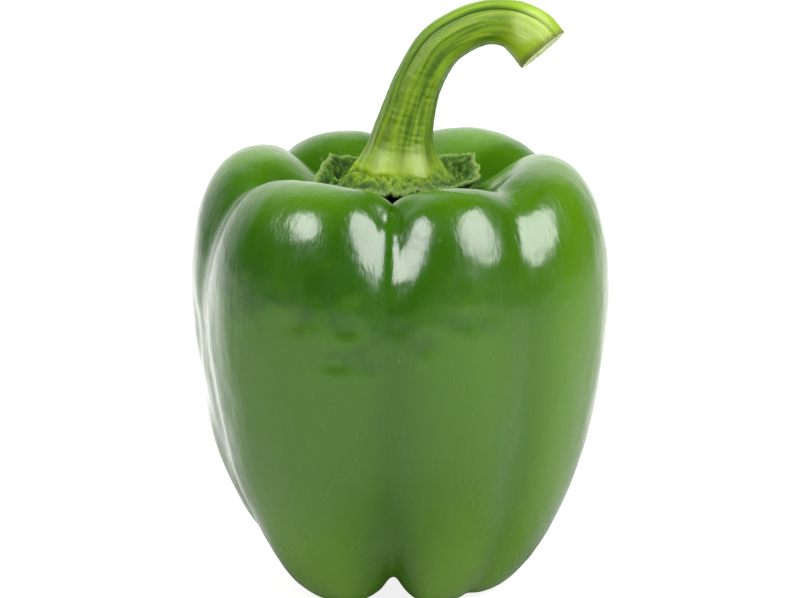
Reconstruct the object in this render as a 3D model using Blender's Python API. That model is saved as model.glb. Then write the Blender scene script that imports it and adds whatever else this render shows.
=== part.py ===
"""A green bell pepper, picked with its stem on and standing on the feet of its lobes.

Three pieces: the fruit, the calyx that lies in the dimple between its shoulders, and the curved
stem that stands on the calyx. Metres, +Z up, +X to the side that the stem bends towards. The origin
is on the surface that the pepper stands on, under the middle of its bounding box.
"""

import math
from collections import namedtuple

import bmesh
import bpy
from mathutils import Vector
from mathutils.bvhtree import BVHTree

# Driving dimensions.
BODY_WIDTH = 0.090
SHOULDER_HEIGHT = 0.0925
GAP = 0.0003

# Fruit mesh.
FRUIT_SEGMENTS = 76
FRUIT_RINGS = 40

# The fruit's outline from the middle of its top to the middle of its bottom, as the cage of a
# smooth curve: radius as a share of half the width, height as a share of the shoulder's.
OUTLINE = (
    (0.00, 0.922),
    (0.26, 0.922),
    (0.42, 0.938),
    (0.60, 1.020),
    (0.84, 1.005),
    (0.99, 0.880),
    (1.03, 0.700),
    (0.99, 0.510),
    (0.92, 0.330),
    (0.80, 0.150),
    (0.60, 0.000),
    (0.40, -0.020),
    (0.20, 0.080),
    (0.00, 0.110),
)

# Grooves between the lobes. The azimuths are in degrees from +X towards +Y, and the depths in
# metres: where a groove crosses the shoulder, runs down the side, and parts the feet.
Groove = namedtuple("Groove", "top_azimuth side_azimuth shoulder side foot")
GROOVES = (
    Groove(-93, -93, 0.0050, 0.0010, 0.0062),
    Groove(-38, -52, 0.0042, 0.0012, 0.0016),
    Groove(28, 24, 0.0050, 0.0018, 0.0045),
    Groove(90, 88, 0.0056, 0.0016, 0.0050),
    Groove(140, 138, 0.0046, 0.0012, 0.0020),
    Groove(198, 196, 0.0058, 0.0024, 0.0050),
)
GROOVE_WIDTH = 10.0  # degrees over which a groove's wall falls by a factor of e
GROOVE_ROUNDING = 2.0  # degrees across its rounded floor

# Where along the outline, from 0 to 1, the figures for the shoulder, side and foot fade in and out,
# and where a groove turns from its top azimuth to its side azimuth.
SHOULDER_START = (0.06, 0.20)
SHOULDER_TO_SIDE = (0.28, 0.50)
SIDE_TO_FOOT = (0.60, 0.78)
FOOT_END = (0.84, 1.00)
GROOVE_TURN = (0.15, 0.45)

# Lobes between the grooves: the azimuth of each one's crest, and how far it stands out, in metres,
# over the shoulder, down the side and at the foot.
Lobe = namedtuple("Lobe", "azimuth shoulder side foot")
LOBES = (
    Lobe(-127, -0.0004, 0.0000, 0.0009),
    Lobe(-68, -0.0004, 0.0000, 0.0014),
    Lobe(-6, 0.0002, -0.0004, -0.0008),
    Lobe(55, 0.0005, 0.0000, 0.0006),
    Lobe(115, 0.0000, 0.0000, 0.0009),
    Lobe(168, 0.0010, -0.0006, -0.0022),
)
LOBE_WIDTH = 26.0  # degrees

# Calyx: its corners, with each one's azimuth in degrees, its distance from the middle and how far
# it curls up off the fruit, in metres.
Corner = namedtuple("Corner", "azimuth reach lift")
CALYX_CORNERS = (
    Corner(-135, 0.0138, 0.0004),
    Corner(-92, 0.0112, 0.0002),
    Corner(-50, 0.0132, 0.0004),
    Corner(-8, 0.0176, 0.0012),
    Corner(38, 0.0208, 0.0020),
    Corner(92, 0.0150, 0.0010),
    Corner(142, 0.0196, 0.0026),
    Corner(184, 0.0186, 0.0008),
)
CALYX_THICKNESS = 0.0020
CALYX_CURL_START = 0.6  # share of the way out at which the corners begin to curl up
CALYX_SEGMENTS = 48
CALYX_RINGS = 14

# Stem: the centre line's points and the radius there, from the calyx to the cut end.
STEM_POINTS = (
    ((0.0003, 0.0000, 0.0000), 0.0092),
    ((0.0003, 0.0000, 0.0035), 0.0074),
    ((0.0006, 0.0000, 0.0095), 0.0065),
    ((0.0018, 0.0000, 0.0150), 0.0059),
    ((0.0039, 0.0000, 0.0211), 0.0052),
    ((0.0084, 0.0000, 0.0285), 0.0048),
    ((0.0140, 0.0000, 0.0325), 0.0045),
    ((0.0192, 0.0000, 0.0343), 0.0044),
    ((0.0247, -0.0004, 0.0336), 0.0053),
    ((0.0281, -0.0011, 0.0312), 0.0061),
    ((0.0306, -0.0022, 0.0282), 0.0057),
)
STEM_RIBS = 5
STEM_RIB_HEIGHT = 0.05  # as a share of the stem's radius
STEM_OUTLINE_POINTS = 25
STEM_STEPS = 4  # rings between two points of the centre line


def smoothstep(low, high, value):
    """0 below low, 1 above high, and a smooth rise between them."""
    share = min(1.0, max(0.0, (value - low) / (high - low)))
    return share * share * (3 - 2 * share)


def degrees_between(azimuth, other):
    """The angle from other to azimuth, between -180 and 180."""
    return (azimuth - other + 180) % 360 - 180


def turned_outline(position):
    """(radius, height, radial slope, vertical slope) of the fruit's outline, by position from 0 at
    the middle of the top to 1 at the middle of the bottom. The curve is a uniform cubic B-spline
    whose cage is mirrored in the axis at both ends."""
    cage = [(-OUTLINE[1][0], OUTLINE[1][1]), *OUTLINE, (-OUTLINE[-2][0], OUTLINE[-2][1])]
    along = position * (len(OUTLINE) - 1)
    span = min(int(along), len(OUTLINE) - 2)
    u = along - span
    weights = (
        (1 - u) ** 3 / 6,
        (3 * u**3 - 6 * u**2 + 4) / 6,
        (-3 * u**3 + 3 * u**2 + 3 * u + 1) / 6,
        u**3 / 6,
    )
    slopes = (
        -((1 - u) ** 2) / 2,
        (3 * u**2 - 4 * u) / 2,
        (-3 * u**2 + 2 * u + 1) / 2,
        u**2 / 2,
    )
    scale = (BODY_WIDTH / 2, SHOULDER_HEIGHT)
    point = [scale[i] * sum(w * cage[span + k][i] for k, w in enumerate(weights)) for i in (0, 1)]
    slope = [scale[i] * sum(s * cage[span + k][i] for k, s in enumerate(slopes)) for i in (0, 1)]
    return (*point, *slope)


def relief(azimuth, position):
    """How far the lobes and grooves move the skin out, at an azimuth in degrees and a position down
    the outline."""
    to_side = smoothstep(*SHOULDER_TO_SIDE, position)
    to_foot = smoothstep(*SIDE_TO_FOOT, position)
    over_shoulder = smoothstep(*SHOULDER_START, position) * (1 - to_side)
    down_side = to_side * (1 - to_foot)
    under_foot = to_foot * (1 - smoothstep(*FOOT_END, position))
    turn = smoothstep(*GROOVE_TURN, position)
    out = 0.0
    for groove in GROOVES:
        middle = groove.top_azimuth + turn * (groove.side_azimuth - groove.top_azimuth)
        fall = math.hypot(degrees_between(azimuth, middle), GROOVE_ROUNDING) - GROOVE_ROUNDING
        out -= math.exp(-fall / GROOVE_WIDTH) * (
            groove.shoulder * over_shoulder + groove.side * down_side + groove.foot * under_foot
        )
    for lobe in LOBES:
        out += math.exp(-((degrees_between(azimuth, lobe.azimuth) / LOBE_WIDTH) ** 2)) * (
            lobe.shoulder * over_shoulder + lobe.side * down_side + lobe.foot * under_foot
        )
    return out


def fruit_point(azimuth, position):
    """The point of the fruit's skin at an azimuth in degrees and a position down the outline."""
    radius, height, out, up = turned_outline(position)
    raised = relief(azimuth, position)
    slope = math.hypot(out, up)
    radius -= up / slope * raised
    height += out / slope * raised
    turn = math.radians(azimuth)
    return Vector((radius * math.cos(turn), radius * math.sin(turn), max(0.0, height)))


def new_object(name, data, material, parent, collection):
    """An object with its material, under a parent."""
    made = bpy.data.objects.new(name, data)
    data.materials.append(material)
    made.parent = parent
    collection.objects.link(made)
    return made


def new_material(name, colour, roughness):
    """A Principled material of one colour."""
    material = bpy.data.materials.new(name)
    material.use_nodes = True
    shader = material.node_tree.nodes["Principled BSDF"]
    shader.inputs["Base Color"].default_value = (*colour, 1)
    shader.inputs["Roughness"].default_value = roughness
    shader.inputs["Metallic"].default_value = 0
    return material


def sphere_mesh(name, segments, rings, place):
    """A UV sphere whose points are moved by place(azimuth in degrees, share of the way down)."""
    sphere = bmesh.new()
    bmesh.ops.create_uvsphere(sphere, u_segments=segments, v_segments=rings, radius=1)
    for vertex in sphere.verts:
        azimuth = math.degrees(math.atan2(vertex.co.y, vertex.co.x))
        down = math.acos(max(-1.0, min(1.0, vertex.co.z))) / math.pi
        vertex.co = place(azimuth, down)
    mesh = bpy.data.meshes.new(name)
    sphere.to_mesh(mesh)
    sphere.free()
    mesh.shade_smooth()
    return mesh


def fruit_mesh():
    """The fruit: a sphere moved out to its lobed skin, with each foot flattened where it stands."""
    return sphere_mesh("fruit", FRUIT_SEGMENTS, FRUIT_RINGS, fruit_point)


def calyx_rim(azimuth):
    """(reach, lift) of the calyx's rim at an azimuth in degrees, straight from corner to corner."""
    for start, end in zip(CALYX_CORNERS, CALYX_CORNERS[1:] + CALYX_CORNERS[:1]):
        width = (end.azimuth - start.azimuth) % 360
        along = (azimuth - start.azimuth) % 360
        if along < width:
            break
    before = math.radians(along)
    after = math.radians(width - along)
    across = start.reach * math.sin(before) + end.reach * math.sin(after)
    reach = start.reach * end.reach * math.sin(before + after) / across
    share = smoothstep(0, 1, along / width)
    return reach, start.lift + share * (end.lift - start.lift)


def calyx_mesh(fruit):
    """The calyx: a flattened sphere with corners, laid on the skin of the dimple."""
    skin = BVHTree.FromPolygons(
        [vertex.co for vertex in fruit.vertices], [face.vertices for face in fruit.polygons]
    )

    def place(azimuth, down):
        reach, lift = calyx_rim(azimuth)
        share = math.sin(down * math.pi)
        turn = math.radians(azimuth)
        x = share * reach * math.cos(turn)
        y = share * reach * math.sin(turn)
        rest = skin.ray_cast(Vector((x, y, 2 * SHOULDER_HEIGHT)), Vector((0, 0, -1)))[0].z
        curl = lift * smoothstep(CALYX_CURL_START, 1, share)
        thickness = CALYX_THICKNESS * (1 + math.cos(down * math.pi)) / 2
        return Vector((x, y, rest + 2 * GAP + curl + thickness))

    return sphere_mesh("calyx", CALYX_SEGMENTS, CALYX_RINGS, place)


def stem_outline(collection):
    """The stem's ribbed cross-section at a radius of 1, as a closed curve."""
    curve = bpy.data.curves.new("stem_outline", "CURVE")
    curve.dimensions = "2D"
    outline = curve.splines.new("POLY")
    outline.points.add(STEM_OUTLINE_POINTS - 1)
    for index, point in enumerate(outline.points):
        turn = -2 * math.pi * index / STEM_OUTLINE_POINTS
        radius = 1 + STEM_RIB_HEIGHT * math.cos(STEM_RIBS * turn)
        point.co = (radius * math.cos(turn), radius * math.sin(turn), 0, 1)
    outline.use_cyclic_u = True
    guide = bpy.data.objects.new("stem_outline", curve)
    guide.hide_render = True
    guide.display_type = "WIRE"
    collection.objects.link(guide)
    return guide


def stem_curve(outline):
    """The stem: the ribbed outline swept along the centre line, from its foot to the cut end."""
    curve = bpy.data.curves.new("stem", "CURVE")
    curve.dimensions = "3D"
    curve.resolution_u = STEM_STEPS
    curve.bevel_mode = "OBJECT"
    curve.bevel_object = outline
    curve.use_fill_caps = True
    line = curve.splines.new("BEZIER")
    line.bezier_points.add(len(STEM_POINTS) - 1)
    line.radius_interpolation = "CARDINAL"
    for point, (place, radius) in zip(line.bezier_points, STEM_POINTS):
        point.co = place
        point.radius = radius
        point.handle_left_type = "AUTO"
        point.handle_right_type = "AUTO"
    return curve


def clear_scene():
    """Removes every object of the scene."""
    for old in list(bpy.data.objects):
        bpy.data.objects.remove(old, do_unlink=True)


def middle_of_box(mesh):
    """The x and y of the middle of a mesh's bounding box."""
    lines = [[vertex.co[i] for vertex in mesh.vertices] for i in (0, 1)]
    return [(min(line) + max(line)) / 2 for line in lines]


def top_within(mesh, radius):
    """The greatest height of a mesh within a radius of its axis."""
    return max(vertex.co.z for vertex in mesh.vertices if vertex.co.xy.length < radius)


def main():
    clear_scene()
    parts = bpy.data.collections.new("bell_pepper")
    guides = bpy.data.collections.new("guides")
    bpy.context.scene.collection.children.link(parts)
    bpy.context.scene.collection.children.link(guides)

    green = new_material("skin_green", (0.06, 0.19, 0.012), 0.25)
    grey_green = new_material("calyx_green", (0.19, 0.30, 0.09), 0.8)
    light_green = new_material("stem_green", (0.20, 0.38, 0.02), 0.5)

    # The empty carries the pepper so that the middle of the fruit's box is over the origin.
    skin = fruit_mesh()
    axis = bpy.data.objects.new("pepper_axis", None)
    middle = middle_of_box(skin)
    axis.location = (-middle[0], -middle[1], 0)
    parts.objects.link(axis)
    new_object("fruit", skin, green, axis, parts)

    leaf = calyx_mesh(skin)
    new_object("calyx", leaf, grey_green, axis, parts)

    foot_radius = STEM_POINTS[0][1]
    stem = new_object("stem", stem_curve(stem_outline(guides)), light_green, axis, parts)
    stem.location.z = top_within(leaf, foot_radius) + GAP


main()
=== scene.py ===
"""Looks of a green bell pepper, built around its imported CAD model.

The fruit, calyx and stem are rebuilt here as fine meshes in the places of their CAD nodes. Metres,
+Z up, +X to the side that the stem bends towards, and -Y to the front.
"""

import math
from collections import namedtuple

import bmesh
import bpy
import numpy as np
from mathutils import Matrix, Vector, noise
from mathutils.bvhtree import BVHTree


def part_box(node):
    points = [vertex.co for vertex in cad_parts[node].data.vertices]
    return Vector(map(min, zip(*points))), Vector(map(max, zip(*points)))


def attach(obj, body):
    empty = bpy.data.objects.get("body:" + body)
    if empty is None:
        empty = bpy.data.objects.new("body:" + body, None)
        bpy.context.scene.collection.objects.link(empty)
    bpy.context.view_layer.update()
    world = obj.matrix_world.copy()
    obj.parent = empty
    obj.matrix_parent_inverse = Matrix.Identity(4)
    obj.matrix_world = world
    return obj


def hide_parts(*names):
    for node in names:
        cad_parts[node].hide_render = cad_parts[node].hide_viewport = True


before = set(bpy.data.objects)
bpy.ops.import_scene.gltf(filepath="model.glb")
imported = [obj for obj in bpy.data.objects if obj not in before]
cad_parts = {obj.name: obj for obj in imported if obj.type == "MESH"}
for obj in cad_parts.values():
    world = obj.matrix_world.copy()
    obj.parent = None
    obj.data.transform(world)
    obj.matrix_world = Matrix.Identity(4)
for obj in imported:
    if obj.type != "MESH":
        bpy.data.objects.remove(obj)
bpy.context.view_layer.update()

# ---------------------------------------------------------------------------------------------
# Fruit: the same lobed shape as the CAD model's, with a finer skin
# ---------------------------------------------------------------------------------------------

BODY_WIDTH = 0.090
SHOULDER_HEIGHT = 0.0925
FRUIT_SEGMENTS = 448
FRUIT_RINGS = 208

# The outline from the middle of the top to the middle of the bottom, as the cage of a smooth curve:
# radius as a share of half the width, height as a share of the shoulder's.
OUTLINE = (
    (0.00, 0.922),
    (0.26, 0.922),
    (0.42, 0.938),
    (0.60, 1.020),
    (0.84, 1.005),
    (0.99, 0.880),
    (1.03, 0.700),
    (0.99, 0.510),
    (0.92, 0.330),
    (0.80, 0.150),
    (0.60, 0.000),
    (0.40, -0.020),
    (0.20, 0.080),
    (0.00, 0.110),
)

# Grooves and the lobes between them: azimuths in degrees from +X towards +Y, and in metres how
# deep a groove is and how far a lobe's crest stands out, at the shoulder, the side and the foot.
# A groove's bottom is rounded over some degrees, and it may have a crease as deep as crease.
Groove = namedtuple("Groove", "top_azimuth side_azimuth shoulder side foot rounding crease")
GROOVES = (
    Groove(-93, -93, 0.0050, 0.0014, 0.0062, 2, 0.0006),
    Groove(-38, -52, 0.0042, 0.0018, 0.0018, 6, 0.0000),
    Groove(28, 24, 0.0050, 0.0018, 0.0045, 4, 0.0003),
    Groove(90, 88, 0.0056, 0.0016, 0.0050, 2, 0.0006),
    Groove(140, 138, 0.0046, 0.0012, 0.0020, 4, 0.0003),
    Groove(198, 196, 0.0058, 0.0024, 0.0050, 5, 0.0000),
)
Lobe = namedtuple("Lobe", "azimuth shoulder side foot")
LOBES = (
    Lobe(-127, -0.0004, 0.0000, 0.0009),
    Lobe(-68, -0.0004, 0.0000, 0.0014),
    Lobe(-6, 0.0002, -0.0004, -0.0008),
    Lobe(55, 0.0005, 0.0000, 0.0006),
    Lobe(115, 0.0000, 0.0000, 0.0009),
    Lobe(168, 0.0010, -0.0006, -0.0022),
)
GROOVE_WIDTH = 10.0
LOBE_WIDTH = 26.0

# Where along the outline, from 0 to 1, the figures for the shoulder, side and foot fade in and out,
# and where a groove turns from its azimuth on top to its azimuth at the side.
SHOULDER_START = (0.06, 0.20)
SHOULDER_TO_SIDE = (0.28, 0.50)
SIDE_TO_FOOT = (0.60, 0.78)
FOOT_END = (0.84, 1.00)
GROOVE_TURN = (0.15, 0.45)

# How wide a crease is, in degrees, and where along the outline it fades in and out. To show it,
# the mesh is finer near the grooves: over how many degrees, and how much finer.
CREASE_WIDTH = 1.6
CREASE_SPAN = (0.08, 0.18, 0.30, 0.42)
GATHER_WIDTH = 7.0
GATHER_SHARE = 2.0
GATHER_STEPS = 3600

# Waves in the skin: how long they are across and along the fruit, and how high, in metres. The
# flank's are only on the left, around an azimuth, and die out towards the shoulder.
Wave = namedtuple("Wave", "across along height seed")
WAVES = (
    Wave(0.016, 0.022, 0.00020, 1),
    Wave(0.008, 0.009, 0.00015, 2),
    Wave(0.0045, 0.045, 0.00007, 3),
    Wave(0.0030, 0.0026, 0.00007, 6),
    Wave(0.0022, 0.024, 0.000025, 5),
)
FLANK_WAVE = Wave(0.0065, 0.020, 0.00085, 4)
FLANK_AZIMUTH = 178
FLANK_WIDTH = 40
FLANK_TOP = (0.060, 0.084)

# Shallow dents in the skin: where each is, in degrees and metres up, its size in the same, and its
# depth.
Dent = namedtuple("Dent", "azimuth height width tall depth")
DENTS = (
    Dent(-93, 0.0832, 14, 0.0094, 0.0025),
    Dent(-107, 0.0585, 6, 0.0024, 0.00080),
    Dent(-97, 0.0575, 4, 0.0020, 0.00050),
    Dent(-104, 0.0655, 4, 0.0022, 0.00040),
    Dent(-81, 0.0620, 5, 0.0024, 0.00050),
    Dent(-90, 0.0655, 4, 0.0020, 0.00024),
    Dent(-118, 0.0660, 5, 0.0024, 0.00026),
    Dent(-72, 0.0670, 6, 0.0024, 0.00026),
    Dent(-93, 0.0380, 8, 0.0320, 0.00130),
    Dent(-50, 0.0400, 6, 0.0300, 0.00070),
    Dent(-170, 0.0560, 8, 0.0060, 0.00050),
    Dent(-176, 0.0420, 8, 0.0070, 0.00050),
    Dent(150, 0.0520, 9, 0.0070, 0.00060),
    Dent(60, 0.0600, 8, 0.0050, 0.00040),
    Dent(20, 0.0420, 9, 0.0060, 0.00050),
)

# Swellings that fill the tops of grooves beside the hollow: the azimuth and radius of the middle of
# each, its width in degrees, its size along the radius and its height.
Fill = namedtuple("Fill", "azimuth radius width across height")
FILLS = (
    Fill(-93, 0.0262, 12, 0.0038, 0.0042),
    Fill(-38, 0.0262, 10, 0.0038, 0.0014),
)

# Painted shade: darker spots on the skin where the dents break the floor's pale reflection, placed
# and sized as the dents are. Noise makes them ragged.
ShadeSpot = namedtuple("ShadeSpot", "azimuth height width tall")
SHADE_SPOTS = (
    ShadeSpot(-107, 0.0582, 6, 0.0022),
    ShadeSpot(-98, 0.0572, 4, 0.0018),
    ShadeSpot(-101, 0.0610, 3, 0.0014),
    ShadeSpot(-95, 0.0635, 3, 0.0016),
    ShadeSpot(-104, 0.0655, 4, 0.0024),
    ShadeSpot(-113, 0.0690, 6, 0.0030),
    ShadeSpot(-90, 0.0660, 4, 0.0024),
    ShadeSpot(-84, 0.0620, 4, 0.0020),
    ShadeSpot(-72, 0.0670, 6, 0.0024),
)
SHADE_SPOT_NOISE = 0.0022
SHADE_SPOT_NOISE_SHARE = 1.2

# Painted shade: the grooves' skin is painted darker the deeper they are.
GROOVE_SHADE_DEPTH = 0.0022  # how deep a groove is where its skin is darkest

# The blossom's scar, under the middle of the fruit.
SCAR_RADIUS = 0.0024
SCAR_HEIGHT = 0.0009
SCAR_NOISE = 0.0012
SCAR_NOISE_SHARE = 0.35


def smoothstep(low, high, value):
    """0 below low, 1 above high, and a smooth rise between them."""
    share = np.clip((np.asarray(value, float) - low) / (high - low), 0, 1)
    return share * share * (3 - 2 * share)


def degrees_between(azimuth, other):
    """The angle from other to azimuth, between -180 and 180."""
    return (azimuth - other + 180) % 360 - 180


def turned_outline(position):
    """(radius, height) and (radial slope, vertical slope) of the outline, by position from 0 at the
    middle of the top to 1 at the middle of the bottom: a uniform cubic B-spline."""
    cage = [(-OUTLINE[1][0], OUTLINE[1][1]), *OUTLINE, (-OUTLINE[-2][0], OUTLINE[-2][1])]
    cage = np.array(cage) * (BODY_WIDTH / 2, SHOULDER_HEIGHT)
    along = position * (len(OUTLINE) - 1)
    span = np.minimum(along.astype(int), len(OUTLINE) - 2)
    u = along - span
    weights = (
        (1 - u) ** 3 / 6,
        (3 * u**3 - 6 * u**2 + 4) / 6,
        (-3 * u**3 + 3 * u**2 + 3 * u + 1) / 6,
        u**3 / 6,
    )
    slopes = (
        -((1 - u) ** 2) / 2,
        (3 * u**2 - 4 * u) / 2,
        (-3 * u**2 + 2 * u + 1) / 2,
        u**2 / 2,
    )
    place = sum(w[:, None] * cage[span + k] for k, w in enumerate(weights))
    slope = sum(s[:, None] * cage[span + k] for k, s in enumerate(slopes))
    return place.T, slope.T


def relief(azimuth, position):
    """How far the lobes and grooves move the skin out."""
    to_side = smoothstep(*SHOULDER_TO_SIDE, position)
    to_foot = smoothstep(*SIDE_TO_FOOT, position)
    over_shoulder = smoothstep(*SHOULDER_START, position) * (1 - to_side)
    down_side = to_side * (1 - to_foot)
    under_foot = to_foot * (1 - smoothstep(*FOOT_END, position))
    turn = smoothstep(*GROOVE_TURN, position)
    creased = smoothstep(*CREASE_SPAN[:2], position) * (1 - smoothstep(*CREASE_SPAN[2:], position))
    out = np.zeros_like(position)
    for groove in GROOVES:
        middle = groove.top_azimuth + turn * (groove.side_azimuth - groove.top_azimuth)
        aside = degrees_between(azimuth, middle)
        fall = np.hypot(aside, groove.rounding) - groove.rounding
        out -= np.exp(-fall / GROOVE_WIDTH) * (
            groove.shoulder * over_shoulder + groove.side * down_side + groove.foot * under_foot
        )
        out -= groove.crease * creased * np.exp(-((aside / CREASE_WIDTH) ** 2))
    for lobe in LOBES:
        out += np.exp(-((degrees_between(azimuth, lobe.azimuth) / LOBE_WIDTH) ** 2)) * (
            lobe.shoulder * over_shoulder + lobe.side * down_side + lobe.foot * under_foot
        )
    return out


def gathered(azimuth):
    """Azimuths moved closer together near the grooves."""
    grid = np.linspace(-180, 180, GATHER_STEPS + 1)
    density = 1 + GATHER_SHARE * sum(
        np.exp(-((degrees_between(grid, groove.side_azimuth) / GATHER_WIDTH) ** 2))
        for groove in GROOVES
    )
    share = np.concatenate(([0], np.cumsum((density[1:] + density[:-1]) / 2)))
    return np.interp((azimuth + 180) / 360, share / share[-1], grid)


def read_points(mesh):
    """A mesh's vertices as an array."""
    points = np.empty(len(mesh.vertices) * 3)
    mesh.vertices.foreach_get("co", points)
    return points.reshape(-1, 3)


def read_normals(mesh):
    """A mesh's vertex normals as an array."""
    normals = np.empty(len(mesh.vertices) * 3)
    mesh.vertex_normals.foreach_get("vector", normals)
    return normals.reshape(-1, 3)


def write_points(mesh, points):
    """Moves a mesh's vertices to the points."""
    mesh.vertices.foreach_set("co", np.asarray(points, np.float32).ravel())
    mesh.update()


def noise_at(points, size, seed=0):
    """Smooth noise from about -1 to 1 at the points, with waves of the size."""
    places = points / size + np.array((3.7, -5.3, 7.9)) * seed
    return np.array([noise.noise(place) for place in places.tolist()])


def closed_mesh(name, rings):
    """A closed mesh through rings of points, with a point in the middle of each end's ring."""
    count, sides = rings.shape[:2]
    points = np.vstack((rings.reshape(-1, 3), rings[0].mean(0), rings[-1].mean(0)))
    number = np.arange(count * sides).reshape(count, sides)
    beside = np.roll(number, -1, 1)
    quads = np.stack((number[:-1], number[1:], beside[1:], beside[:-1]), -1).reshape(-1, 4)
    faces = quads.tolist()
    first, last = count * sides, count * sides + 1
    faces += [(first, here, there) for here, there in zip(number[0].tolist(), beside[0].tolist())]
    faces += [(last, there, here) for here, there in zip(number[-1].tolist(), beside[-1].tolist())]
    mesh = bpy.data.meshes.new(name)
    mesh.from_pydata(points.tolist(), [], faces)
    mesh.shade_smooth()
    return mesh


def store(mesh, name, values):
    """Stores a number or a vector for each vertex, for the material to read."""
    values = np.asarray(values, np.float32)
    kind, field = ("FLOAT_VECTOR", "vector") if values.ndim == 2 else ("FLOAT", "value")
    mesh.attributes.new(name, kind, "POINT").data.foreach_set(field, values.ravel())


def store_rings(mesh, name, values):
    """Stores a number or a vector for each point of a closed mesh's rings. The middle of an end
    gets the value of a point in the ring around it."""
    values = values.reshape(-1, *values.shape[2:])
    store(mesh, name, np.concatenate((values, values[:1], values[-1:])))


def blossom_scar(points):
    """How much of the blossom's scar, under the middle of the fruit, the points belong to."""
    from_axis = np.hypot(points[:, 0], points[:, 1])
    ragged = 1 + SCAR_NOISE_SHARE * noise_at(points, SCAR_NOISE, 8)
    return np.exp(-((from_axis / SCAR_RADIUS * ragged) ** 2)) * (points[:, 2] < SHOULDER_HEIGHT / 2)


def unevenness(points, azimuth):
    """How far waves, dents, swellings and the scar move the skin out."""
    out = np.zeros(len(points))
    for wave in (*WAVES, FLANK_WAVE):
        size = np.array((wave.across, wave.across, wave.along))
        waves = wave.height * noise_at(points, size, wave.seed)
        if wave is FLANK_WAVE:
            waves *= np.exp(-((degrees_between(azimuth, FLANK_AZIMUTH) / FLANK_WIDTH) ** 2))
            waves *= 1 - smoothstep(*FLANK_TOP, points[:, 2])
        out += waves
    for dent in DENTS:
        aside = degrees_between(azimuth, dent.azimuth) / dent.width
        above = (points[:, 2] - dent.height) / dent.tall
        out -= dent.depth * np.exp(-(aside**2) - above**2)
    from_axis = np.hypot(points[:, 0], points[:, 1])
    for fill_in in FILLS:
        aside = degrees_between(azimuth, fill_in.azimuth) / fill_in.width
        outward = (from_axis - fill_in.radius) / fill_in.across
        swelling = fill_in.height * np.exp(-(aside**2) - outward**2)
        out += swelling * (points[:, 2] > SHOULDER_HEIGHT / 2)
    return out + SCAR_HEIGHT * blossom_scar(points)


def painted_shade_spots(points, azimuth):
    """How dark the painted shade spots make the skin at the points, from 0 to 1."""
    dark = np.zeros(len(points))
    for shade_spot in SHADE_SPOTS:
        aside = degrees_between(azimuth, shade_spot.azimuth) / shade_spot.width
        above = (points[:, 2] - shade_spot.height) / shade_spot.tall
        dark += np.exp(-(aside**2) - above**2)
    return np.clip(dark * (1 + SHADE_SPOT_NOISE_SHARE * noise_at(points, SHADE_SPOT_NOISE, 9)), 0, 1)


def fruit_mesh():
    """The fruit's mesh, and how far its axis is from the frame's. The mesh is centred on the CAD
    node's box, and flat where its feet rest."""
    turn = gathered(np.linspace(-180, 180, FRUIT_SEGMENTS, endpoint=False))
    down = np.linspace(0, 1, FRUIT_RINGS + 1)[1:-1]
    azimuth, position = (grid.ravel() for grid in np.meshgrid(turn, down))
    (radius, height), (out, up) = turned_outline(position)
    raised = relief(azimuth, position)
    slope = np.hypot(out, up)
    radius = radius - up / slope * raised
    height = height + out / slope * raised
    turn = np.radians(azimuth)
    points = np.stack([radius * np.cos(turn), radius * np.sin(turn), height], 1)
    mesh = closed_mesh("bell_pepper_fruit", points.reshape(FRUIT_RINGS - 1, FRUIT_SEGMENTS, 3))
    points = read_points(mesh)
    azimuth = np.degrees(np.arctan2(points[:, 1], points[:, 0]))
    scar = blossom_scar(points)
    points += read_normals(mesh) * unevenness(points, azimuth)[:, None]
    points[:, 2] = np.maximum(points[:, 2], 0)
    low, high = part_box("fruit")
    shift = np.array((low + high) / 2) - (points.max(0) + points.min(0)) / 2
    shift[2] = 0
    write_points(mesh, points + shift)
    store(mesh, "scar", scar)
    # Painted shade: the dark spots where the dents break the floor's reflection.
    store(mesh, "shade_spot", painted_shade_spots(points, azimuth))
    # Painted shade: how dark each groove's skin is painted, by its depth.
    depth = np.clip(-raised / GROOVE_SHADE_DEPTH, 0, 1)
    store_rings(mesh, "groove", depth.reshape(FRUIT_RINGS - 1, FRUIT_SEGMENTS))
    return mesh, shift


# ---------------------------------------------------------------------------------------------
# Calyx: a crinkled leafy disc on the hollow of the top, its ragged rim turned up at the corners
# ---------------------------------------------------------------------------------------------

# The rim's corners: how far out each reaches and how far it is lifted.
Corner = namedtuple("Corner", "azimuth reach lift")
CALYX_CORNERS = (
    Corner(-135, 0.0140, 0.0010),
    Corner(-92, 0.0118, -0.0006),
    Corner(-50, 0.0134, 0.0006),
    Corner(-14, 0.0178, 0.0020),
    Corner(38, 0.0208, 0.0034),
    Corner(92, 0.0150, 0.0018),
    Corner(142, 0.0196, 0.0038),
    Corner(196, 0.0192, 0.0008),
)
CALYX_EDGE_POINTS = 40
CALYX_SEGMENTS = 300
CALYX_RINGS = 60

# Lengths in metres, and shares of the way from the middle to the rim.
CALYX_ABOVE_SKIN = (0.0060, 0.0012)  # in the middle and at the rim
CALYX_SLOPE = (0.0082, 0.0140)  # from where to where it comes down
CALYX_SMOOTHING = 25  # degrees over which it evens out the grooves beneath it
CALYX_CURL = (0.70, 1.00)
CALYX_HOLLOW_DEPTH = 0.0009
CALYX_HOLLOW_SHARE = 0.72
CALYX_HOLLOW_WIDTH = 0.13
CALYX_HOLLOW_REACH = (0.0118, 0.0150)  # a rim that reaches less far has no hollow inside it
CALYX_THICKNESS = 0.0044
CALYX_RIM_THICKNESS = 0.0006
CALYX_THINNING = (0.40, 1.00)
CALYX_SMOOTH_MIDDLE = (0.0070, 0.0092)
CALYX_HEART = (0.0098, 0.0124)  # from where to where its lime middle fades out
# From where to where the calyx turns paler towards its rim.
CALYX_PALE_RIM = (0.88, 1.00)

# Raggedness of the rim, laid out on a circle: how far it goes and how long its waves are.
CALYX_CIRCLE = 0.015
CALYX_RAGS = ((0.0009, 0.0040), (0.0004, 0.0012))

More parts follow.
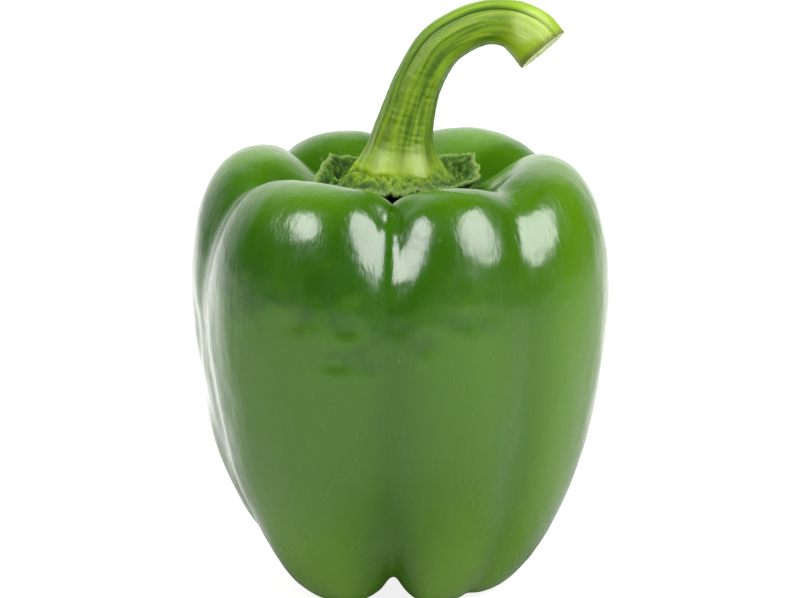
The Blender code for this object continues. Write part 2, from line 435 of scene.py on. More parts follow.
# Crinkles: how long and how high they are, how sharp their ridges are, and the shares of them that
# are lost near the rim and in the heart.
CALYX_CRINKLES = ((0.0026, 0.00034), (0.0012, 0.00034), (0.0006, 0.00032))
CRINKLE_SHARPNESS = 3.2
CRINKLE_SCALE = 0.0006  # the height that the material takes as 1
CRINKLES_BELOW = 0.5  # the share of them that the underside follows
CRINKLES_LOST_AT_RIM = 0.5
CRINKLES_LOST_IN_HEART = 0.15
CALYX_RIM = (0.90, 1.00)  # from where to where they are lost near the rim


def calyx_rim(azimuth):
    """The rim's radius and lift, by azimuth: straight from corner to corner, and then ragged."""
    corner_azimuth, corner_reach, corner_lift = np.array(CALYX_CORNERS).T
    corner_turn = np.radians(corner_azimuth)
    corner_x, corner_y = corner_reach * np.cos(corner_turn), corner_reach * np.sin(corner_turn)
    corners = np.stack([corner_x, corner_y, corner_lift], 1)
    share = np.linspace(0, 1, CALYX_EDGE_POINTS, endpoint=False)[:, None]
    edges = zip(corners, np.roll(corners, -1, 0))
    x, y, lift = np.concatenate([start + share * (end - start) for start, end in edges]).T
    around = np.degrees(np.arctan2(y, x))
    reach = np.interp(azimuth, around, np.hypot(x, y), period=360)
    lift = np.interp(azimuth, around, lift, period=360)
    turn = np.radians(azimuth)
    circle = np.stack([np.cos(turn), np.sin(turn), np.zeros_like(turn)], -1) * CALYX_CIRCLE
    ragged = sum(
        height * noise_at(circle, length, 11 + number)
        for number, (height, length) in enumerate(CALYX_RAGS)
    )
    return reach + ragged, lift


def smoothed_skin(fruit, x, y, turn):
    """How high the top of the fruit is at rings of points, evened out around each ring."""
    corners = [vertex.co for vertex in fruit.vertices]
    skin = BVHTree.FromPolygons(corners, [face.vertices for face in fruit.polygons])
    down = Vector((0, 0, -1))
    starts = [Vector((px, py, 1.0)) for px, py in zip(x.ravel(), y.ravel())]
    height = np.array([skin.ray_cast(start, down)[0].z for start in starts]).reshape(x.shape)
    window = np.exp(-((turn / CALYX_SMOOTHING) ** 2))
    window = np.fft.rfft(np.fft.ifftshift(window / window.sum()))
    return np.fft.irfft(np.fft.rfft(height) * window, len(turn))


def calyx_crinkles(x, y, z):
    """How far the crinkles' ridges and hollows move the calyx's top up."""
    place = np.stack([x, y, z], -1).reshape(-1, 3)
    crinkle = sum(
        height * (1 - CRINKLE_SHARPNESS * abs(noise_at(place, size, 20 + number)))
        for number, (size, height) in enumerate(CALYX_CRINKLES)
    )
    return crinkle.reshape(x.shape)


def calyx_mesh(fruit, axis):
    """The calyx's mesh, around the fruit's axis and over the fruit's skin."""
    turn = np.linspace(-180, 180, CALYX_SEGMENTS, endpoint=False)
    rim, lift = calyx_rim(turn)
    share = np.linspace(0, 1, CALYX_RINGS + 1)[1:, None]
    radius = share * rim
    x = radius * np.cos(np.radians(turn)) + axis[0]
    y = radius * np.sin(np.radians(turn)) + axis[1]
    z = smoothed_skin(fruit, x, y, turn) + CALYX_ABOVE_SKIN[0]
    z += lift * smoothstep(*CALYX_CURL, share)
    z += (CALYX_ABOVE_SKIN[1] - CALYX_ABOVE_SKIN[0]) * smoothstep(*CALYX_SLOPE, radius)
    hollow = np.exp(-(((share - CALYX_HOLLOW_SHARE) / CALYX_HOLLOW_WIDTH) ** 2))
    z -= CALYX_HOLLOW_DEPTH * hollow * smoothstep(*CALYX_HOLLOW_REACH, rim)

    heart = 1 - smoothstep(*CALYX_HEART, radius)
    crinkle = calyx_crinkles(x, y, z) * smoothstep(*CALYX_SMOOTH_MIDDLE, radius)
    crinkle *= 1 - CRINKLES_LOST_AT_RIM * smoothstep(*CALYX_RIM, share)
    crinkle *= 1 - CRINKLES_LOST_IN_HEART * heart
    thinning = smoothstep(*CALYX_THINNING, share)
    thickness = CALYX_THICKNESS + (CALYX_RIM_THICKNESS - CALYX_THICKNESS) * thinning
    top = np.stack([x, y, z + crinkle], -1)
    under = np.stack([x, y, z + CRINKLES_BELOW * crinkle - thickness], -1)[::-1]
    mesh = closed_mesh("bell_pepper_calyx", np.concatenate((top, under)))
    edge = smoothstep(*CALYX_PALE_RIM, share) + np.zeros_like(x)
    for name, values in (("crinkle", crinkle / CRINKLE_SCALE), ("edge", edge), ("heart", heart)):
        store_rings(mesh, name, np.concatenate((values, values[::-1])))
    return mesh


# ---------------------------------------------------------------------------------------------
# Stem: a bent, ribbed stalk with a flared foot, a swollen tip and a cut face
# ---------------------------------------------------------------------------------------------

# Middle and radius, from inside the calyx to the cut face, above the middle of the calyx.
STEM_POINTS = (
    (0.0001, 0.0000, -0.0010, 0.0086),
    (0.0001, 0.0000, 0.0002, 0.0092),
    (0.0001, 0.0000, 0.0014, 0.0096),
    (0.0002, 0.0000, 0.0027, 0.0095),
    (0.0003, 0.0000, 0.0044, 0.0085),
    (0.0005, 0.0000, 0.0066, 0.0074),
    (0.0009, 0.0000, 0.0098, 0.0065),
    (0.0022, 0.0000, 0.0150, 0.0057),
    (0.0042, 0.0000, 0.0211, 0.0052),
    (0.0084, 0.0000, 0.0283, 0.0050),
    (0.0140, 0.0000, 0.0322, 0.0048),
    (0.0192, 0.0000, 0.0338, 0.0048),
    (0.0240, -0.0004, 0.0334, 0.0052),
    (0.0279, -0.0011, 0.0312, 0.0059),
    (0.0306, -0.0021, 0.0282, 0.0060),
)
STEM_SIDES = 192
STEM_RINGS = 260

# The cut face: a shallow hollow with a grain.
CUT_RINGS = 24
CUT_HOLLOW = 0.0005
CUT_GRAIN = 0.0007
CUT_GRAIN_HEIGHT = 0.00016

# Grooves along the stem: the angle of each, in degrees from the outside of the bend towards the
# back, how wide it is, and how deep it is at the foot and at the tip.
StemGroove = namedtuple("StemGroove", "angle width foot tip")
STEM_GROOVES = (
    StemGroove(-88, 13, 0.00080, 0.00018),
    StemGroove(-66, 6, 0.00000, 0.00014),
    StemGroove(-42, 4, 0.00015, 0.00050),
    StemGroove(-14, 11, 0.00050, 0.00010),
    StemGroove(32, 7, 0.00025, 0.00030),
    StemGroove(84, 12, 0.00060, 0.00025),
    StemGroove(134, 8, 0.00045, 0.00025),
    StemGroove(-152, 12, 0.00060, 0.00015),
)
STEM_FOOT_TO_TIP = (0.05, 0.50)  # shares of the length over which a groove's depth changes
# Painted shade: dark lines painted along the narrow grooves.
STEM_LINE_WIDTH = 4  # a groove no wider than this is a dark line
STEM_LINE_START = (0.25, 0.50)
STEM_LINE_END = (0.80, 1.00)
STEM_LINE_FADES = 0.6

# Noise on the stem: how high it is, how long across and along the stem, and its seed.
StemNoise = namedtuple("StemNoise", "height across length seed")
STEM_WAVES = (
    StemNoise(0.00012, 0.0040, 0.0090, 31),
    StemNoise(0.00005, 0.0007, 0.0120, 32),
    StemNoise(0.00005, 0.0011, 0.0011, 34),
)
FOOT_BUMPS = StemNoise(0.00045, 0.0011, 0.0014, 35)
FOOT_LENGTH = 0.0046
FOOT_TOES = 5  # toes in which the foot ends, around the stem
FOOT_TOE_ANGLE = -88
FOOT_TOE_HEIGHT = 0.00020
WRINKLES = StemNoise(0.00020, 0.0032, 0.0009, 33)
WRINKLES_START = (0.08, 0.18)
WRINKLES_END = (0.40, 0.62)
WRINKLES_ANGLE = -95
WRINKLES_WIDTH = 60
STRAIGHT_RADIUS = 0.006  # of the straightened stem on which noise is laid out

# Painted whitish sheen and highlights: the middle and width of each patch, in degrees, and how
# strong it is on the lower half, on the upper half and on the skirt above the foot. One more patch,
# a painted highlight, is near the tip.
PaintedSheen = namedtuple("PaintedSheen", "angle width low high skirt")
PAINTED_SHEENS = (
    PaintedSheen(-60, 14, 0.00, 0.50, 0.0),
    PaintedSheen(-125, 26, 0.15, 0.00, 0.0),
    PaintedSheen(-150, 22, 0.00, 0.20, 0.0),
    PaintedSheen(-60, 20, 0.00, 0.00, 1.1),
    PaintedSheen(-113, 22, 0.00, 0.00, 1.1),
)
SHEEN_LOW_TO_HIGH = (0.28, 0.48)
SKIRT_MIDDLE = 0.0062
SKIRT_LENGTH = 0.0026
SHEEN_NOISE = StemNoise(0.35, 0.0016, 0.0060, 51)
SHEEN_LEAST = 0.8
# Painted highlight near the tip.
TIP_HIGHLIGHT = 2.2
TIP_HIGHLIGHT_ANGLE = -62
TIP_HIGHLIGHT_WIDTH = 36
TIP_HIGHLIGHT_MIDDLE = 0.91
TIP_HIGHLIGHT_LENGTH = 0.045

# The fresh, yellower colour of the stem's two ends, and the bruised rim of the cut.
FRESH_FOOT = 0.0060
FRESH_TIP = (0.74, 0.95)
FRESH_TIP_SHARE = 0.8
BRUISED_EDGE = (0.955, 1.000)


def smooth_path(knots, count):
    """Evenly spaced points on a smooth curve through the knots, and their distance along it."""
    knots = np.array(knots)
    cage = np.vstack((2 * knots[0] - knots[1], knots, 2 * knots[-1] - knots[-2]))
    along = np.linspace(0, len(knots) - 1, 40 * len(knots))
    span = np.minimum(along.astype(int), len(knots) - 2)
    u = (along - span)[:, None]
    a, b, c, d = (cage[span + k] for k in range(4))
    fine = b + u / 2 * (c - a + u * (2 * a - 5 * b + 4 * c - d + u * (3 * (b - c) + d - a)))
    steps = np.linalg.norm(np.diff(fine[:, :3], axis=0), axis=1)
    length = np.concatenate(([0], np.cumsum(steps)))
    even = np.linspace(0, length[-1], count)
    return np.stack([np.interp(even, length, column) for column in fine.T], 1), even


def unit(vectors):
    """The vectors, each made one long."""
    return vectors / np.linalg.norm(vectors, axis=-1, keepdims=True)


def near(angle, middle, width):
    """1 at an angle around the stem, falling to 0 some degrees to either side."""
    return np.exp(-((degrees_between(angle, middle) / width) ** 2))


def stem_noise(fibre, kind):
    """One kind of noise, laid out on the straightened stem."""
    size = np.array((kind.across, kind.across, kind.length))
    return kind.height * noise_at(fibre.reshape(-1, 3), size, kind.seed).reshape(fibre.shape[:2])


def stem_relief(angle, along, share, fibre):
    """How far grooves, waves, wrinkles and the foot's toes move the stem's skin out."""
    grooved = sum(
        near(angle, groove.angle, groove.width)
        * (groove.foot + (groove.tip - groove.foot) * smoothstep(*STEM_FOOT_TO_TIP, share))
        for groove in STEM_GROOVES
    )
    waves = sum(stem_noise(fibre, kind) for kind in STEM_WAVES)
    at_foot = np.exp(-((along / FOOT_LENGTH) ** 2))
    toes = FOOT_TOE_HEIGHT * np.cos(np.radians(FOOT_TOES * (angle - FOOT_TOE_ANGLE)))
    bumps = at_foot * (stem_noise(fibre, FOOT_BUMPS) - toes)
    wrinkled = smoothstep(*WRINKLES_START, share) * (1 - smoothstep(*WRINKLES_END, share))
    wrinkled = wrinkled * near(angle, WRINKLES_ANGLE, WRINKLES_WIDTH)
    return waves - grooved + bumps + wrinkled * stem_noise(fibre, WRINKLES)


def stem_furrow_shade(angle, share):
    """How much painted shade the stem's narrow grooves put on its points, as dark lines."""
    lines = sum(
        near(angle, groove.angle, groove.width)
        for groove in STEM_GROOVES
        if groove.width <= STEM_LINE_WIDTH
    )
    fading = 1 - STEM_LINE_FADES * smoothstep(*STEM_LINE_END, share)
    return lines * smoothstep(*STEM_LINE_START, share) * fading


def stem_painted_sheen(angle, along, share, fibre):
    """How much painted whitish sheen and highlight the stem's points have."""
    high = smoothstep(*SHEEN_LOW_TO_HIGH, share)
    skirt = np.exp(-(((along - SKIRT_MIDDLE) / SKIRT_LENGTH) ** 2))
    painted_sheen = sum(
        near(angle, patch.angle, patch.width)
        * (patch.low * (1 - high) + patch.high * high + patch.skirt * skirt)
        for patch in PAINTED_SHEENS
    )
    painted_sheen *= SHEEN_LEAST + stem_noise(fibre, SHEEN_NOISE)
    near_tip = np.exp(-(((share - TIP_HIGHLIGHT_MIDDLE) / TIP_HIGHLIGHT_LENGTH) ** 2))
    return painted_sheen + TIP_HIGHLIGHT * near(angle, TIP_HIGHLIGHT_ANGLE, TIP_HIGHLIGHT_WIDTH) * near_tip


def cut_face(rim, middle, ahead):
    """Rings of the cut face, from the stem's last ring, given from its middle, inwards."""
    share = np.linspace(1, 0, CUT_RINGS + 1)[1:-1][:, None, None]
    flat = share * rim
    grain = noise_at(flat.reshape(-1, 3), CUT_GRAIN, 41).reshape(len(share), -1, 1)
    hollow = CUT_HOLLOW * (1 - share**4) + CUT_GRAIN_HEIGHT * grain * (1 - share**6)
    return middle + flat - ahead * hollow


def stem_mesh(base):
    """The stem's mesh, with its foot on the base."""
    path, along = smooth_path(STEM_POINTS, STEM_RINGS)
    middle, radius = path[:, :3], path[:, 3:]
    along = along[:, None]
    share = along / along[-1]
    ahead = unit(np.gradient(middle, axis=0))
    back = unit(np.array((0, 1, 0)) - ahead * ahead[:, 1:2])
    out = np.cross(ahead, back)
    angle = np.linspace(-180, 180, STEM_SIDES, endpoint=False)
    cosine, sine = np.cos(np.radians(angle)), np.sin(np.radians(angle))
    around = cosine[None, :, None] * out[:, None] + sine[None, :, None] * back[:, None]

    # A straightened copy of the surface, on which fibres and wrinkles are laid out.
    straight = np.broadcast_arrays(STRAIGHT_RADIUS * cosine, STRAIGHT_RADIUS * sine, along)
    fibre = np.stack(straight, -1)

    raised = stem_relief(angle, along, share, fibre)
    side = middle[:, None] + around * (radius + raised)[..., None]
    face = cut_face(side[-1] - middle[-1], middle[-1], ahead[-1])
    mesh = closed_mesh("bell_pepper_stem", np.concatenate((side, face)) + base)
    fresh = np.exp(-((along / FRESH_FOOT) ** 2))
    on_side_and_face = {
        "fresh": (fresh + FRESH_TIP_SHARE * smoothstep(*FRESH_TIP, share), 1),
        "painted_sheen": (stem_painted_sheen(angle, along, share, fibre), 0),
        "furrow_shade": (stem_furrow_shade(angle, share), 0),
        "edge": (smoothstep(*BRUISED_EDGE, share), 0),
        "cut": (0, 1),
    }
    store_rings(mesh, "fibre", np.concatenate((fibre, face)))
    for name, (on_side, on_face) in on_side_and_face.items():
        values = np.full((len(side) + len(face), STEM_SIDES), float(on_face))
        values[: len(side)] = on_side
        store_rings(mesh, name, values)
    return mesh


def add_piece(name, mesh, material, node):
    """Adds a piece that stands for a CAD node."""
    piece = bpy.data.objects.new(name, mesh)
    bpy.context.scene.collection.objects.link(piece)
    mesh.materials.append(material)
    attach(piece, "root")
    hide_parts(node)


# ---------------------------------------------------------------------------------------------
# Materials
# ---------------------------------------------------------------------------------------------

# Dark green: the skin's darker mottle, and the painted shade in the grooves and spots.
SKIN_DARK_AND_SHADE = (0.013, 0.060, 0.0002, 1)
SKIN_GREEN = (0.020, 0.078, 0.0003, 1)
# Painted light: the lighter colour of the lower body, for the floor's pale reflection and bounce.
SKIN_PAINTED_LOWER_LIGHT = (0.036, 0.110, 0.0004, 1)
# Painted light: the lighter, yellower colour at the feet, for the bright floor's bounce.
SKIN_PAINTED_FOOT_LIGHT = (0.072, 0.170, 0.0010, 1)
# Painted light: the lighter, yellower colour of the lobe tops, for the light from above.
SKIN_PAINTED_TOP_LIGHT = (0.060, 0.145, 0.0005, 1)
# Lighter and yellower towards +X.
SKIN_RIGHT_TINT = (0.068, 0.170, 0.0005, 1)
SKIN_SPECK = (0.160, 0.300, 0.0600, 1)
SKIN_SCAR = (0.200, 0.130, 0.0450, 1)

# From where to where, in metres, one colour turns into the next: up the fruit, and to the right.
SKIN_PAINTED_LOWER_LIGHT_FROM = (0.077, 0.062)
SKIN_PAINTED_LOWER_LIGHT_RAGGED = 0.018  # how far noise moves that border up or down
SKIN_PAINTED_FOOT_LIGHT_FROM = (0.034, 0.002)
SKIN_PAINTED_TOP_LIGHT_FROM = (0.082, 0.093)
SKIN_RIGHT_TINT_FROM = (0.002, 0.040)
SKIN_SPECKS_PER_METRE = 170.0
SKIN_STREAK_HEIGHT = 0.00011
SKIN_GRAIN_HEIGHT = 0.00002


def new_material(name):
    """A material, its node tree and its shader."""
    material = bpy.data.materials.new(name)
    material.use_nodes = True
    return material, material.node_tree, material.node_tree.nodes["Principled BSDF"]


def fill(tree, node, inputs):
    """Sets a node's inputs to numbers or links them to other nodes' outputs."""
    for socket, value in inputs.items():
        if isinstance(value, bpy.types.NodeSocket):
            tree.links.new(value, node.inputs[socket])
        else:
            node.inputs[socket].default_value = value


def add_node(tree, kind, inputs, **settings):
    """A new shader node with its settings and inputs."""
    node = tree.nodes.new("ShaderNode" + kind)
    for name, value in settings.items():
        setattr(node, name, value)
    fill(tree, node, inputs)
    return node


def attribute(tree, name, output="Fac"):
    """A number or a vector that is stored on the mesh."""
    return add_node(tree, "Attribute", {}, attribute_name=name).outputs[output]


def surface_noise(tree, size, stretch=1.0, detail=2.0, place=None):
    """Noise with waves of the size in metres, drawn out along Z by the stretch."""
    place = place or add_node(tree, "TexCoord", {}).outputs["Object"]
    scale = (1 / size, 1 / size, 1 / size / stretch)
    place = add_node(tree, "Mapping", {"Vector": place, "Scale": scale}).outputs[0]
    return add_node(tree, "TexNoise", {"Vector": place, "Scale": 1.0, "Detail": detail}).outputs[0]


def graded(tree, value, low, high, start=0.0, end=1.0):
    """A value from low to high, smoothly turned into one from start to end."""
    inputs = {"Value": value, "From Min": low, "From Max": high, "To Min": start, "To Max": end}
    return add_node(tree, "MapRange", inputs, interpolation_type="SMOOTHSTEP").outputs[0]


def blended(tree, factor, first, second):
    """Two colours mixed by a factor."""
    inputs = {0: factor, 6: first, 7: second}
    return add_node(tree, "Mix", inputs, data_type="RGBA").outputs[2]


def tinted(tree, colour, tint, value, low, high, most=1.0):
    """A colour that turns into a tint as a value goes from low to high, at most by a share."""
    return blended(tree, graded(tree, value, low, high, 0.0, most), colour, tint)


def bumped(tree, height, distance, below=None):
    """A normal that a height moves by the distance in metres."""
    inputs = {"Height": height, "Distance": distance, "Strength": 1.0}
    if below:
        inputs["Normal"] = below
    return add_node(tree, "Bump", inputs).outputs[0]


def skin_material():
    """Waxy green skin: mottled and yellower to one side, with painted light that makes it lighter
    on top, over the lower body and at the foot, painted shade in its grooves and in spots where
    dents break the floor's reflection, tiny pale specks and a brown scar."""
    material, tree, shader = new_material("pepper_skin")
    place = add_node(tree, "TexCoord", {}).outputs["Object"]
    parts = add_node(tree, "SeparateXYZ", {0: place})
    across, height = parts.outputs["X"], parts.outputs["Z"]
    colour = tinted(tree, SKIN_DARK_AND_SHADE, SKIN_GREEN, surface_noise(tree, 0.016, 1.6, 4.0), 0.35, 0.65)
    ragged = {"To Min": -SKIN_PAINTED_LOWER_LIGHT_RAGGED, "To Max": SKIN_PAINTED_LOWER_LIGHT_RAGGED}
    ragged["Value"] = surface_noise(tree, 0.0060, 0.7, 6.0)
    shift = add_node(tree, "MapRange", ragged).outputs[0]
    border = add_node(tree, "Math", {0: height, 1: shift}).outputs[0]
    # Painted light: lighter below a ragged border, for the floor's reflection and bounce on the
    # lower body.
    colour = tinted(tree, colour, SKIN_PAINTED_LOWER_LIGHT, border, *SKIN_PAINTED_LOWER_LIGHT_FROM)
    # Painted light: lighter, yellower towards the feet, for the bounce from the floor.
    colour = tinted(tree, colour, SKIN_PAINTED_FOOT_LIGHT, height, *SKIN_PAINTED_FOOT_LIGHT_FROM, 0.8)
    # Painted light: lighter, yellower lobe tops, for the light from above.
    colour = tinted(tree, colour, SKIN_PAINTED_TOP_LIGHT, height, *SKIN_PAINTED_TOP_LIGHT_FROM, 0.7)
    # Lighter and yellower towards +X.
    colour = tinted(tree, colour, SKIN_RIGHT_TINT, across, *SKIN_RIGHT_TINT_FROM, 0.9)
    # Painted shade in the grooves.
    colour = tinted(tree, colour, SKIN_DARK_AND_SHADE, attribute(tree, "groove"), 0.0, 1.0, 0.55)
    # Painted shade: dark spots where the dents break the floor's reflection.
    colour = tinted(tree, colour, SKIN_DARK_AND_SHADE, attribute(tree, "shade_spot"), 0.1, 0.9, 0.45)
    cells = {"Vector": place, "Scale": SKIN_SPECKS_PER_METRE}
    from_speck = add_node(tree, "TexVoronoi", cells).outputs["Distance"]
    colour = blended(tree, graded(tree, from_speck, 0.03, 0.07, 0.20, 0.0), colour, SKIN_SPECK)
    colour = tinted(tree, colour, SKIN_SCAR, attribute(tree, "scar"), 0.25, 0.60)
    streaks = bumped(tree, surface_noise(tree, 0.0011, 9.0), SKIN_STREAK_HEIGHT)
    grain = bumped(tree, surface_noise(tree, 0.0007), SKIN_GRAIN_HEIGHT, streaks)
    roughness = graded(tree, surface_noise(tree, 0.004, 3.0), 0.3, 0.7, 0.21, 0.30)
    fill(tree, shader, {
        "Base Color": colour,
        "Roughness": roughness,
        "IOR": 1.5,
        "Coat Weight": 0.6,
        "Coat Roughness": 0.155,
        "Normal": grain,
    })
    return material


# Painted shade for the crinkles' hollows.
CALYX_HOLLOW_SHADE = (0.012, 0.040, 0.0030, 1)
CALYX_GREEN = (0.036, 0.095, 0.0040, 1)
CALYX_LIME = (0.150, 0.235, 0.0060, 1)
# Pale: painted highlight on the crinkles' ridges, and the colour of the rim.
CALYX_PALE = (0.200, 0.290, 0.0700, 1)
CALYX_GRAIN_HEIGHT = 0.00012


def calyx_material():
    """Dull leaf: painted shade in its crinkles' hollows and painted highlights on their ridges,
    paler towards its rim, lime in its heart.
    """
    material, tree, shader = new_material("pepper_calyx")
    crinkle = attribute(tree, "crinkle")
    fine = surface_noise(tree, 0.0005, 1.0, 3.0)
    crinkle = add_node(tree, "Math", {0: crinkle, 1: fine}).outputs[0]
    # Painted shade: darker in the crinkles' hollows.
    colour = tinted(tree, CALYX_HOLLOW_SHADE, CALYX_GREEN, crinkle, 0.4, 1.4)
    # Painted highlight: paler on the crinkles' ridges.
    colour = tinted(tree, colour, CALYX_PALE, crinkle, 1.3, 2.1, 0.6)
    # Lime heart, painted lighter on its crinkles' ridges.
    lime = tinted(tree, CALYX_GREEN, CALYX_LIME, crinkle, 0.2, 1.6)
    colour = blended(tree, attribute(tree, "heart"), colour, lime)
    # Paler towards the rim.
    colour = tinted(tree, colour, CALYX_PALE, attribute(tree, "edge"), 0.2, 1.0, 0.50)
    grain = bumped(tree, surface_noise(tree, 0.0004, 1.0, 4.0), CALYX_GRAIN_HEIGHT)
    fill(tree, shader, {"Base Color": colour, "Roughness": 0.60, "IOR": 1.4, "Normal": grain})
    return material


STEM_DARK = (0.028, 0.082, 0.0002, 1)
STEM_LIME = (0.145, 0.240, 0.0004, 1)
STEM_FRESH = (0.200, 0.300, 0.0010, 1)
# Whitish colour of the painted sheen and highlights.
STEM_PAINTED_SHEEN = (0.330, 0.420, 0.1300, 1)
# Painted shade along the narrow grooves.
STEM_FURROW_SHADE = (0.022, 0.060, 0.0005, 1)
STEM_BRUISED = (0.085, 0.095, 0.0150, 1)
CUT_PALE = (0.480, 0.540, 0.2400, 1)
CUT_GREEN = (0.250, 0.340, 0.0700, 1)
STEM_THREAD_HEIGHT = 0.00010
STEM_GRAIN_HEIGHT = 0.00012


def stem_material():
    """Fibrous satin bark, yellower at its two ends, with painted whitish sheen and highlights and
    painted shade along its narrow grooves, and the pale pith of the cut face.
    """
    material, tree, shader = new_material("pepper_stem")
    fibre = attribute(tree, "fibre", "Vector")
    strands = surface_noise(tree, 0.0010, 12.0, 5.0, fibre)
    colour = tinted(tree, STEM_DARK, STEM_LIME, strands, 0.26, 0.76)
    colour = tinted(tree, colour, STEM_FRESH, attribute(tree, "fresh"), 0.0, 1.0, 0.85)
    # Painted sheen and highlights, whitish.
    colour = tinted(tree, colour, STEM_PAINTED_SHEEN, attribute(tree, "painted_sheen"), 0.0, 1.0, 0.5)
    # Painted shade: dark lines along the narrow grooves.
    colour = tinted(tree, colour, STEM_FURROW_SHADE, attribute(tree, "furrow_shade"), 0.1, 0.9, 0.8)
    colour = tinted(tree, colour, STEM_BRUISED, attribute(tree, "edge"), 0.3, 1.0, 0.8)
    pith = tinted(tree, CUT_GREEN, CUT_PALE, surface_noise(tree, 0.0008, 1.0, 4.0), 0.35, 0.65)
    colour = blended(tree, attribute(tree, "cut"), colour, pith)
    threads = bumped(tree, surface_noise(tree, 0.0004, 22.0, 3.0, fibre), STEM_THREAD_HEIGHT)
    grain = bumped(tree, surface_noise(tree, 0.00035, 1.0, 3.0), STEM_GRAIN_HEIGHT, threads)
    roughness = graded(tree, surface_noise(tree, 0.0015, 6.0, 2.0, fibre), 0.3, 0.7, 0.32, 0.46)
    fill(tree, shader, {"Base Color": colour, "Roughness": roughness, "IOR": 1.4, "Normal": grain})
    return material


# ---------------------------------------------------------------------------------------------
# Stage: camera, soft studio light and a plain white floor
# ---------------------------------------------------------------------------------------------

CAMERA_DISTANCE = 1.10
CAMERA_ELEVATION = 14.0  # degrees
CAMERA_TARGET_HEIGHT = 0.0614
VIEW_WIDTH = 0.17224  # what the picture spans at the pepper's axis
SENSOR_WIDTH = 36.0  # millimetres

# Soft lights: where each stands, in degrees to the right of the front and above the horizon, its
# distance, width and height in metres, its power in watts, and whether gloss shows it.
Softbox = namedtuple("Softbox", "name turn rise distance width height power mirrored")
SOFTBOXES = (
    Softbox("key_left", -55, 42, 0.75, 0.44, 0.40, 4.0, True),
    Softbox("key_right", 62, 38, 0.75, 0.66, 0.58, 7.7, True),
    Softbox("above", -160, 68, 0.90, 0.60, 0.50, 14.5, False),
    Softbox("fill_front", 5, 2, 1.00, 0.90, 0.60, 7.0, False),
)

FLOOR_CORNERS = ((-1.60, -1.20), (1.60, -1.20), (1.60, 1.60), (-1.60, 1.60))
FLOOR_DROP = 0.0001
FLOOR_COLOUR = (0.24, 0.24, 0.24, 1)
FLOOR_BACK = (-0.34, 0.94, 0.0)  # the way to where it is brightest in reflections
FLOOR_BRIGHTENS = (-0.03, 0.16)  # from where to where along that way it brightens
FLOOR_EDGE = (0.20, 0.90)  # from where to where it brightens, as a cosine to that way
FLOOR_BACK_LIGHT = 1.05
FLOOR_SEEN_LIGHT = 0.84

BACKDROP_LIGHT = 1.0
BACKDROP_TOWARDS = (-0.20, 0.96, 0.18)
BACKDROP_EDGE = (0.42, 0.94)  # from where to where it brightens, as a cosine to its middle
ROOM_LIGHT = 0.01
LOW_LIGHT = 0.09
LOW_LIGHT_TOP = (0.20, 0.02)  # from where to where it brightens, as the sine of the height


def aim(item, place, target):
    """Puts a camera or light at a place and points it at a target."""
    item.location = place
    item.rotation_mode = "QUATERNION"
    item.rotation_quaternion = (Vector(target) - Vector(place)).to_track_quat("-Z", "Y")
    bpy.context.scene.collection.objects.link(item)


def direction(turn, rise):
    """The way to a point some degrees to the right of the front and above the horizon."""
    turn, rise = math.radians(turn), math.radians(rise)
    level = math.cos(rise)
    return Vector((math.sin(turn) * level, -math.cos(turn) * level, math.sin(rise)))


def dot_product(tree, first, second):
    """The dot product of two vectors."""
    inputs = {0: first, 1: second}
    return add_node(tree, "VectorMath", inputs, operation="DOT_PRODUCT").outputs["Value"]


def add_camera():
    """The camera, in front of the pepper, a little above it and aimed at its axis."""
    camera = bpy.data.objects.new("camera", bpy.data.cameras.new("camera"))
    camera.data.sensor_width = SENSOR_WIDTH
    camera.data.lens = SENSOR_WIDTH * CAMERA_DISTANCE / VIEW_WIDTH
    target = Vector((0, 0, CAMERA_TARGET_HEIGHT))
    aim(camera, target + CAMERA_DISTANCE * direction(0, CAMERA_ELEVATION), target)
    bpy.context.scene.camera = camera


def add_lights():
    """The soft lights, all aimed at the middle of the pepper."""
    target = Vector((0, 0, CAMERA_TARGET_HEIGHT))
    for box in SOFTBOXES:
        lamp = bpy.data.lights.new(box.name, "AREA")
        lamp.shape = "ELLIPSE"
        lamp.size = box.width
        lamp.size_y = box.height
        lamp.energy = box.power
        light = bpy.data.objects.new(box.name, lamp)
        light.visible_camera = False
        light.visible_glossy = box.mirrored
        aim(light, target + box.distance * direction(box.turn, box.rise), target)


def add_world():
    """White to the camera. For everything else a white backdrop behind, and a dark room in front
    with a little light low down."""
    world = bpy.data.worlds.new("studio")
    world.use_nodes = True
    tree = world.node_tree
    way = add_node(tree, "TexCoord", {}).outputs["Generated"]
    towards = dot_product(tree, way, BACKDROP_TOWARDS)
    behind = graded(tree, towards, *BACKDROP_EDGE, ROOM_LIGHT, BACKDROP_LIGHT)
    rise = add_node(tree, "SeparateXYZ", {0: way}).outputs["Z"]
    low_down = graded(tree, rise, *LOW_LIGHT_TOP, 0.0, LOW_LIGHT)
    strength = add_node(tree, "Math", {0: behind, 1: low_down}, operation="MAXIMUM").outputs[0]
    room = add_node(tree, "Background", {"Color": (1, 1, 1, 1), "Strength": strength}).outputs[0]
    white = add_node(tree, "Background", {"Color": (1, 1, 1, 1), "Strength": 1.0}).outputs[0]
    seen = add_node(tree, "LightPath", {}).outputs["Is Camera Ray"]
    both = add_node(tree, "MixShader", {0: seen, 1: room, 2: white}).outputs[0]
    fill(tree, tree.nodes["World Output"], {"Surface": both})
    bpy.context.scene.world = world


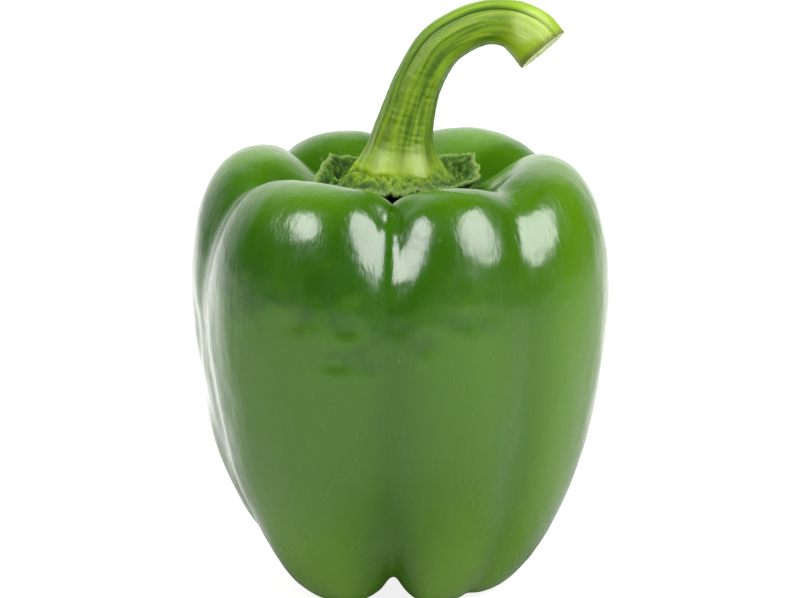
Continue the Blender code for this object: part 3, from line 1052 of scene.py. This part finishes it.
def floor_material():
    """A dull floor that glows white, so that only the deepest shadow shows, and is clear from
    below. Reflections see its glow only behind the pepper."""
    material, tree, shader = new_material("floor_white")
    dull = {"Base Color": FLOOR_COLOUR, "Roughness": 1.0, "Specular IOR Level": 0.0}
    fill(tree, shader, dull)
    place = add_node(tree, "TexCoord", {}).outputs["Object"]
    behind = dot_product(tree, place, FLOOR_BACK)
    far_behind = graded(tree, behind, *FLOOR_BRIGHTENS, 0.0, FLOOR_BACK_LIGHT)
    way = add_node(tree, "VectorMath", {0: place}, operation="NORMALIZE").outputs["Vector"]
    straight = graded(tree, dot_product(tree, way, FLOOR_BACK), *FLOOR_EDGE)
    both_ways = {0: far_behind, 1: straight}
    lit_behind = add_node(tree, "Math", both_ways, operation="MULTIPLY").outputs[0]
    mirrored = add_node(tree, "LightPath", {}).outputs["Is Glossy Ray"]
    inputs = {0: mirrored, 2: FLOOR_SEEN_LIGHT, 3: lit_behind}
    strength = add_node(tree, "Mix", inputs).outputs[0]
    glow = add_node(tree, "Emission", {"Strength": strength}).outputs[0]
    both = add_node(tree, "AddShader", {0: shader.outputs[0], 1: glow}).outputs[0]
    clear = add_node(tree, "BsdfTransparent", {}).outputs[0]
    below = add_node(tree, "NewGeometry", {}).outputs["Backfacing"]
    one_sided = add_node(tree, "MixShader", {0: below, 1: both, 2: clear}).outputs[0]
    fill(tree, tree.nodes["Material Output"], {"Surface": one_sided})
    return material


def add_floor():
    """The floor, a hair below the pepper's feet."""
    plane = bmesh.new()
    plane.faces.new([plane.verts.new((x, y, -FLOOR_DROP)) for x, y in FLOOR_CORNERS])
    mesh = bpy.data.meshes.new("floor")
    plane.to_mesh(mesh)
    plane.free()
    mesh.materials.append(floor_material())
    floor = bpy.data.objects.new("floor", mesh)
    bpy.context.scene.collection.objects.link(floor)


add_camera()
add_lights()
add_world()
add_floor()
bpy.context.scene.view_settings.view_transform = "Standard"

fruit, axis = fruit_mesh()
add_piece("bell_pepper_fruit", fruit, skin_material(), "fruit")
add_piece("bell_pepper_calyx", calyx_mesh(fruit, axis), calyx_material(), "calyx")
stem_base = axis + (0, 0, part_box("stem")[0].z)
add_piece("bell_pepper_stem", stem_mesh(stem_base), stem_material(), "stem")
